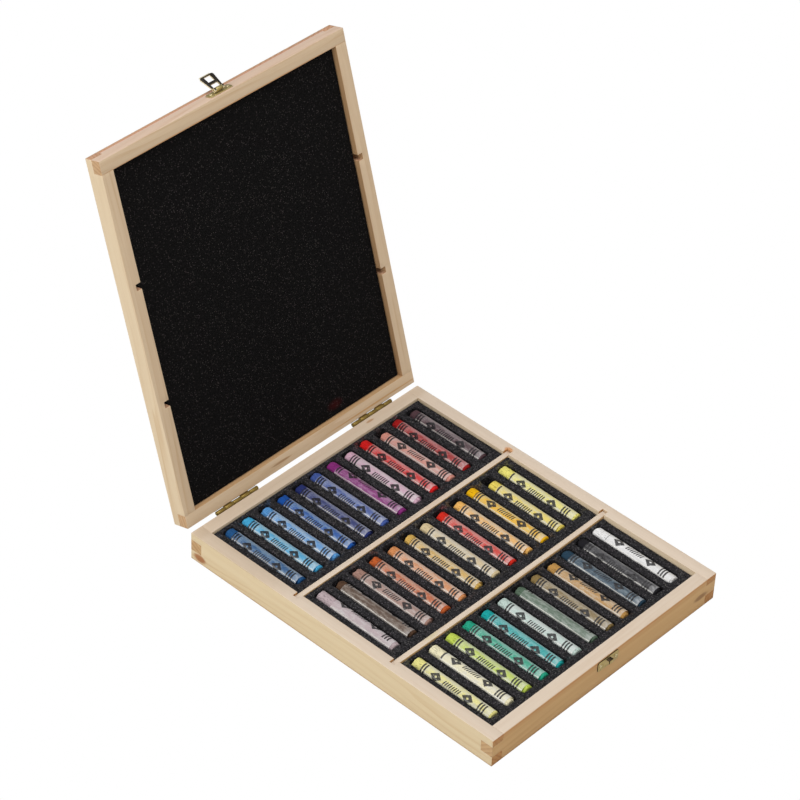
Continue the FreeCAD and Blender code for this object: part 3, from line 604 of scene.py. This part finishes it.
def split_long(form, axis, step):
    """Cuts a long form across its length, so that it can bend and its marks have points to sit on."""
    places = [v.co[axis] for v in form.verts]
    low, high = min(places), max(places)
    for cut in range(1, int((high - low) / step)):
        point = Vector((0, 0, 0))
        point[axis] = low + cut * step
        normal = Vector((0, 0, 0))
        normal[axis] = 1
        bmesh.ops.bisect_plane(form, geom=form.verts[:] + form.edges[:] + form.faces[:], dist=1e-6,
                               plane_co=point, plane_no=normal)


def fitting(node, body, look, rounding=0.1, bright_sides=False):
    """A metal piece: the CAD shape with its edges broken; the rounded edges, and with bright_sides its sides,
    are marked for the shader to paint.
    """
    form = cad_form(node, Matrix.Identity(4))
    bright = form.faces.layers.float.new("edge")
    for face in soften(form, sharp_edges(form), rounding, 2):
        face[bright] = 1.0
    if bright_sides:
        form.normal_update()
        main = max(form.faces, key=lambda face: face.calc_area()).normal.copy()
        for face in form.faces:
            if abs(face.normal.dot(main)) < 0.85:
                face[bright] = 1.0
    mesh = as_mesh(form, node + "_look", 40)
    return add(node + "_look", mesh, [look], body, "brass_fittings", node)


def slot_lines(row):
    """First slot's middle, slot pitch, and the slots' back and front ends, all in mm."""
    middles = [sum(corner.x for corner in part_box(f"pastel_{row}_{n:02d}")) / 2 for n in (1, STICKS_PER_ROW)]
    low, high = TRAYS[row]
    ends = [v.co.y / MM for v in frame["nodes"][f"foam_tray_{row}"].data.vertices]
    inner = [y for y in ends if low.y + 1 < y < high.y - 1]
    return middles[0] / MM, (middles[1] - middles[0]) / MM / (STICKS_PER_ROW - 1), max(inner), min(inner)


def tray_rise(row, y):
    """How far a row's foam and its sticks have lifted at y, in mm."""
    low, high = TRAYS[row]
    return TRAY_TILT[row] * (y - low.y) / (high.y - low.y)


def rounded_loop(x, y, half_x, half_y, corner, step):
    """Points round a rounded rectangle, in order, no more than about a step apart."""
    points = []
    for quarter, (sx, sy) in enumerate(((1, -1), (1, 1), (-1, 1), (-1, -1))):
        cx = x + sx * (half_x - corner)
        cy = y + sy * (half_y - corner)
        for part in range(5):
            angle = math.radians(90 * quarter - 90 + 22.5 * part)
            points.append((cx + corner * math.cos(angle), cy + corner * math.sin(angle)))
    fine = []
    for here, there in zip(points, points[1:] + points[:1]):
        pieces = max(1, round(math.dist(here, there) / step))
        for part in range(pieces):
            share = part / pieces
            fine.append((here[0] + (there[0] - here[0]) * share, here[1] + (there[1] - here[1]) * share))
    return fine


def foam_tray(row, look):
    """A die-cut foam tray that has lifted a little at its back, with soft, slightly wandering walls."""
    low, high = TRAYS[row]
    first, pitch, back, front = slot_lines(row)
    stick_low, stick_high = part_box(f"pastel_{row}_02")
    half_slot = (stick_high.x - stick_low.x) / MM / 2 + 0.3
    floor = min(v.co.z for v in frame["nodes"][f"foam_tray_{row}"].data.vertices
                if v.co.z > low.z * MM + 0.5 * MM) / MM
    form = bmesh.new()

    def ring(points, z, lift, curl):
        made = []
        for x, y in points:
            wander = noise.noise_vector(Vector((x, y, z)) * 0.21) * 0.16
            edge = min(1.0, max(0.0, (y - high.y + 5.0) / 5.0))
            sag = 0.12 * noise.noise(Vector((x, y, 0)) * 0.05)
            up = lift * (tray_rise(row, y) + sag) + curl * edge * edge
            place = Vector((x + wander.x, y + wander.y + divider_bow(x, y), z + up))
            made.append(form.verts.new(place * MM))
        return made

    def band(upper, lower, inward):
        for here in range(len(upper)):
            there = (here + 1) % len(upper)
            corners = [upper[here], upper[there], lower[there], lower[here]]
            form.faces.new(corners if inward else corners[::-1])

    middle = (low + high) / 2
    half = (high - low) / 2
    rim = [(0.6, high.z, 1, 1), (0.2, high.z - 0.15, 1, 1), (0.0, high.z - 0.6, 1, 1), (0.0, low.z, 0, 0)]
    outer = []
    for inset, z, lift, curl in rim:
        inward = FOAM_INSET + inset
        edge_line = rounded_loop(middle.x, middle.y, half.x - inward, half.y - inward, 1.0, 2.5)
        outer.append(ring(edge_line, z, lift, curl * TRAY_CURL[row]))
    for upper, lower in zip(outer, outer[1:]):
        band(upper, lower, False)
    top_edges = loop_edges(form, outer[0])
    form.faces.new(outer[-1][::-1])
    for place in range(STICKS_PER_ROW):
        mouth = [ring(rounded_loop(first + pitch * place, (back + front) / 2, half_slot + grow,
                                   (back - front) / 2 + grow, 2.0 + grow, 2.4), z, 1, 0)
                 for grow, z in ((0.45, high.z), (0.12, high.z - 0.14), (0.0, high.z - 0.5),
                                 (-0.05, (high.z + floor) / 2), (-0.1, floor + 0.02))]
        for upper, lower in zip(mouth, mouth[1:]):
            band(upper, lower, True)
        form.faces.new(mouth[-1])
        top_edges += loop_edges(form, mouth[0])
    bmesh.ops.triangle_fill(form, use_beauty=True, edges=top_edges, normal=(0, 0, 1))
    bmesh.ops.recalc_face_normals(form, faces=form.faces)
    mesh = as_mesh(form, f"foam_tray_{row}_look", 50)
    write_vectors(mesh, "foam", vertex_places(mesh))
    return add(f"foam_tray_{row}_look", mesh, [look], "base", "tray_foam", f"foam_tray_{row}")


def loop_edges(form, ring):
    return [form.edges.get((ring[here], ring[(here + 1) % len(ring)])) for here in range(len(ring))]


def soft_block(low, high, rounding, step):
    """A closed block with rounded edges, gridded so that its faces can undulate; sizes in mm."""
    form = bmesh.new()
    middle = (low + high) / 2
    half = (high - low) / 2
    lines = []
    for axis in range(3):
        inner = max(1, round(2 * (half[axis] - rounding) / step))
        flat = np.linspace(-(half[axis] - rounding), half[axis] - rounding, inner + 1)
        turn = half[axis] - rounding * (1 - np.tan(np.radians(np.linspace(15, 45, 3))))
        lines.append(np.concatenate([-turn[::-1], flat, turn]))
    for axis in range(3):
        one, two = (axis + 1) % 3, (axis + 2) % 3
        for side in (-1, 1):
            grid = []
            for u in lines[one]:
                row = []
                for v in lines[two]:
                    point = Vector((0, 0, 0))
                    point[axis], point[one], point[two] = side * half[axis], u, v
                    core = Vector([min(max(place, rounding - reach), reach - rounding)
                                   for place, reach in zip(point, half)])
                    point = core + (point - core).normalized() * rounding
                    row.append(form.verts.new(point + middle))
                grid.append(row)
            for i in range(len(grid) - 1):
                for j in range(len(grid[0]) - 1):
                    corners = [grid[i][j], grid[i + 1][j], grid[i + 1][j + 1], grid[i][j + 1]]
                    form.faces.new(corners if side > 0 else corners[::-1])
    bmesh.ops.remove_doubles(form, verts=form.verts, dist=0.005)
    return form


def lid_foam(look):
    """The pad in the lid, very slightly uneven, with soft edges."""
    to_closed = closing()
    places = np.array([to_closed @ v.co for v in frame["nodes"]["lid_foam"].data.vertices]) / MM
    form = soft_block(Vector(places.min(0)), Vector(places.max(0)), 0.9, 5.0)
    for v in form.verts:
        v.co.z += 0.14 * noise.noise(v.co * 0.035) - 0.07
        v.co *= MM
    mesh = as_mesh(form, "lid_foam_look", 60)
    write_vectors(mesh, "foam", vertex_places(mesh))
    mesh.transform(to_closed.inverted())
    return add("lid_foam_look", mesh, [look], "lid", "lid_foam", "lid_foam")


def stick_profile(length, radius, bare_front, bare_back, taper):
    """Stations along a stick from its front end: place, radius, whether it is in the sleeve."""
    sleeve_end = length - bare_back
    stations = [(0.02, radius - 1.0, 0), (0.1, radius - 0.6, 0), (0.35, radius - 0.2, 0), (0.8, radius, 0)]
    stations += [(bare_front - 0.02, radius, 0), (bare_front, radius + SLEEVE_THICK, 1)]
    stations += [(y, radius + SLEEVE_THICK, 1) for y in np.linspace(bare_front + 1.5, sleeve_end - 1.5, 34)]
    stations += [(sleeve_end, radius + SLEEVE_THICK, 1), (sleeve_end + 0.02, radius, 0)]
    stations += [(y, radius, 0) for y in np.linspace(sleeve_end + 0.7, length - taper - 0.2, 6)]
    for part in range(1, 9):
        angle = math.radians(11.0 * part)
        stations.append((length - taper + taper * math.sin(angle), radius - taper * (1 - math.cos(angle)), 0))
    return stations


def stick(row, number, chalk, paper):
    """A pastel: a worn chalk end at the back, a clean cut one in front and a crinkled sleeve between."""
    name = ROWS[row][number - 1]
    node = f"pastel_{row}_{number:02d}"
    pick = random.Random(node)
    low, high = (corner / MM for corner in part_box(node))
    centre = Vector(((low.x + high.x) / 2, 0, (low.z + high.z) / 2))
    length = high.y - low.y
    radius = (high.x - low.x) / 2 - SLEEVE_THICK
    bare_back = SLIPPED.get(name, pick.uniform(5, 8))
    facing = ROLLED.get(name, USUAL_FACING) + pick.uniform(-5, 5)
    ragged = pick.uniform(0.25, 0.6)
    lean = pick.uniform(-0.12, 0.12)
    stations = stick_profile(length, radius, pick.uniform(1.2, 2.4), bare_back, pick.uniform(1.0, 2.2))
    offset = Vector([pick.uniform(-99, 99) for _ in range(3)])
    form = bmesh.new()
    rings = []
    for y, r, wrapped in stations:
        ring = []
        for side in range(STICK_SIDES):
            angle = 2 * math.pi * side / STICK_SIDES
            out = Vector((math.sin(angle), 0, math.cos(angle)))
            point = out * r + Vector((0, y, 0))
            worn = (y - length + bare_back) / bare_back
            if wrapped:
                move = 0.05 * noise.noise(point * 0.35 + offset) - 0.03
            else:
                wear = min(1.0, worn) if worn > 0 else 0.25
                broad = ragged * noise.noise(point * 0.35 + offset)
                fine = 0.2 * noise.noise(point * 1.4 + offset)
                move = (broad + fine) * wear
                move -= 0.05 + max(0.0, lean * worn * bare_back * out.x) * 0.35
                point.y += (ragged * 1.6 * noise.noise(out * 1.3 + offset) - 0.35) * wear * (worn > 0)
            point += out * move
            point.y = min(point.y, length)
            point.z += tray_rise(row, low.y + point.y) + STICK_LIFT * point.y / length
            ring.append(form.verts.new((point + Vector((0, low.y, 0)) + centre) * MM))
        rings.append(ring)
    for place in range(len(rings) - 1):
        here, there = rings[place], rings[place + 1]
        in_sleeve = stations[place][2] and stations[place + 1][2]
        for side in range(STICK_SIDES):
            following = (side + 1) % STICK_SIDES
            face = form.faces.new([here[following], here[side], there[side], there[following]])
            face.material_index = in_sleeve
    form.faces.new(rings[0])
    form.faces.new(rings[-1][::-1])
    bmesh.ops.recalc_face_normals(form, faces=form.faces)
    mesh = as_mesh(form, node + "_look", 48)
    local = vertex_places(mesh) - np.array([centre.x, low.y + length / 2, centre.z])
    local[:, 2] -= [tray_rise(row, y + low.y + length / 2) for y in local[:, 1]]
    turned = math.radians(facing)
    write_vectors(mesh, "stick", local + np.array(offset))
    # The unturned place, on which the sleeve's painted sheen and painted highlight line are laid.
    write_vectors(mesh, "round", local)
    write_vectors(mesh, "printed", np.stack([
        local[:, 0] * math.cos(turned) - local[:, 2] * math.sin(turned), local[:, 1],
        local[:, 0] * math.sin(turned) + local[:, 2] * math.cos(turned)], 1))
    for layer, tone in (("pigment", pigment_tone(name)), ("paper", sleeve_tone(name))):
        write_vectors(mesh, layer, [srgb(*tone)[:3]] * len(mesh.vertices))
    return add(node + "_look", mesh, [chalk, paper], node, node, node)


# ---- the scene ----------------------------------------------------------------------------------


def box_planes(nodes, to_closed):
    """The six planes round some nodes in the closed box, each (axis, place)."""
    places = np.array([to_closed @ v.co for node in nodes for v in frame["nodes"][node].data.vertices])
    return [(axis, side[axis]) for axis in range(3) for side in (places.min(0), places.max(0))]


def build():
    pine = wood("base_pine", 0.3, BASE_MARKS_AND_SHADE)
    lid_pine = wood("lid_pine", 0.3, LID_MARKS_AND_SHADE)
    ply = wood("ply", 0.2, LID_MARKS_AND_SHADE)
    base = box_planes(("base_side_left", "base_side_right"), Matrix.Identity(4))
    lid = box_planes(("lid_side_left", "lid_side_right"), closing())
    board("base_side_left", 1, base, pine, inner=1)
    board("base_side_right", 1, base, pine, inner=0)
    board("base_front_board", 0, base, pine, inner=3)
    board("base_back_board", 0, base, pine, inner=2)
    board("base_bottom_panel", 1, [], ply, "ply_panels")
    board("base_dividers", 0, [], pine, round_rest=0.3)
    board("lid_side_left", 1, lid, lid_pine, inner=1, body="lid")
    board("lid_side_right", 1, lid, lid_pine, inner=0, body="lid")
    board("lid_front_board", 0, lid, lid_pine, inner=3, body="lid")
    board("lid_back_board", 0, lid, lid_pine, inner=2, body="lid")
    board("lid_panel", 1, lid, ply, "ply_panels", body="lid")
    for row in ROWS:
        foam_tray(row, foam(f"tray_foam_{row}", (18, 18, 19), (56, 55, 58), (106, 106, 109), 0.45, row))
    lid_foam(foam("lid_pad_foam", (5, 5, 5), (21, 20, 21), (70, 68, 69), 0.3))
    # The second colour of each is painted on its edges: a painted highlight, and on the catch plate a darker
    # outline.
    hinge = brass("hinge_brass", (150, 128, 70), (190, 172, 112), 0.3, 0.85)
    plate = brass("plate_brass", (190, 174, 116), (240, 230, 194), 0.28, 0.85)
    catch = brass("catch_brass", (196, 178, 120), (62, 50, 32), 0.3, 0.8)
    dark = brass("loop_brass", (44, 38, 30), (238, 226, 190), 0.35, 0.6)
    for node in ("hinge_base_leaves", "hinge_pins"):
        fitting(node, "base", hinge)
    fitting("hinge_lid_leaves", "lid", hinge)
    fitting("base_nails", "base", plate, 0.22)
    fitting("lid_nails", "lid", plate, 0.22)
    fitting("catch_plate", "base", catch, 0.12, bright_sides=True)
    fitting("latch_plate", "lid", plate)
    fitting("latch_pin", "lid", plate)
    fitting("latch_loop", "latch_loop", dark, 0.12, bright_sides=True)
    chalk, paper = pigment(), sleeve()
    for row in ROWS:
        for number in range(1, STICKS_PER_ROW + 1):
            stick(row, number, chalk, paper)


def camera():
    """The viewpoint, worked out from the box's corners; distances in box widths, angles in degrees."""
    azimuth, elevation, roll = (math.radians(angle) for angle in (-48.472, 39.839, 2.765))
    distance, right, up = (BOX_WIDTH * share for share in (10.0935, -0.1815, 0.5297))
    focal_pixels, frame_pixels = 3335.6, 800
    back = Vector((math.sin(azimuth) * math.cos(elevation), -math.cos(azimuth) * math.cos(elevation),
                   math.sin(elevation)))
    side = Vector((0, 0, 1)).cross(back).normalized()
    top = back.cross(side)
    data = bpy.data.cameras.new("camera")
    data.sensor_width = 36.0
    data.lens = focal_pixels * data.sensor_width / frame_pixels
    data.clip_start, data.clip_end = 0.05, 50
    eye = bpy.data.objects.new("camera", data)
    turned_side = side * math.cos(roll) + top * math.sin(roll)
    turned_top = top * math.cos(roll) - side * math.sin(roll)
    eye.matrix_world = Matrix.Translation(back * distance + side * right + top * up) @ Matrix(
        (turned_side, turned_top, back)).transposed().to_4x4()
    bpy.context.scene.collection.objects.link(eye)
    bpy.context.scene.camera = eye


def lamp(name, place, target, size, watts, colour):
    data = bpy.data.lights.new(name, "AREA")
    data.shape = "RECTANGLE"
    data.size, data.size_y = size
    data.energy = watts
    data.color = colour
    light = bpy.data.objects.new(name, data)
    light.location = place
    light.rotation_mode = "QUATERNION"
    light.rotation_quaternion = (Vector(target) - Vector(place)).to_track_quat("-Z", "Y")
    bpy.context.scene.collection.objects.link(light)


def studio():
    floor = bpy.data.meshes.new("floor")
    reach = 4.0
    floor.from_pydata([(-reach, -reach, 0), (reach, -reach, 0), (reach, reach, 0), (-reach, reach, 0)], [],
                      [(0, 1, 2, 3)])
    floor.materials.append(floor_look())
    ground = bpy.data.objects.new("floor", floor)
    ground.location.z = -0.2 * MM
    bpy.context.scene.collection.objects.link(ground)
    world = bpy.data.worlds.new("studio")
    world.use_nodes = True
    world.node_tree.nodes["Background"].inputs["Color"].default_value = (1.0, 1.0, 1.0, 1.0)
    world.node_tree.nodes["Background"].inputs["Strength"].default_value = 0.36
    bpy.context.scene.world = world
    middle = (0.0, 0.02, 0.06)
    lamp("left_panel", (-1.6, 0.5, 0.75), middle, (1.3, 1.1), 15, (1.0, 0.99, 0.97))
    lamp("top_panel", (0.0, -0.1, 1.7), middle, (1.4, 1.4), 17, (1.0, 0.99, 0.98))
    lamp("front_fill", (0.9, -1.5, 0.5), middle, (1.0, 0.8), 3, (1.0, 0.86, 0.68))
    bpy.context.scene.view_settings.view_transform = "Standard"


build()
studio()
camera()
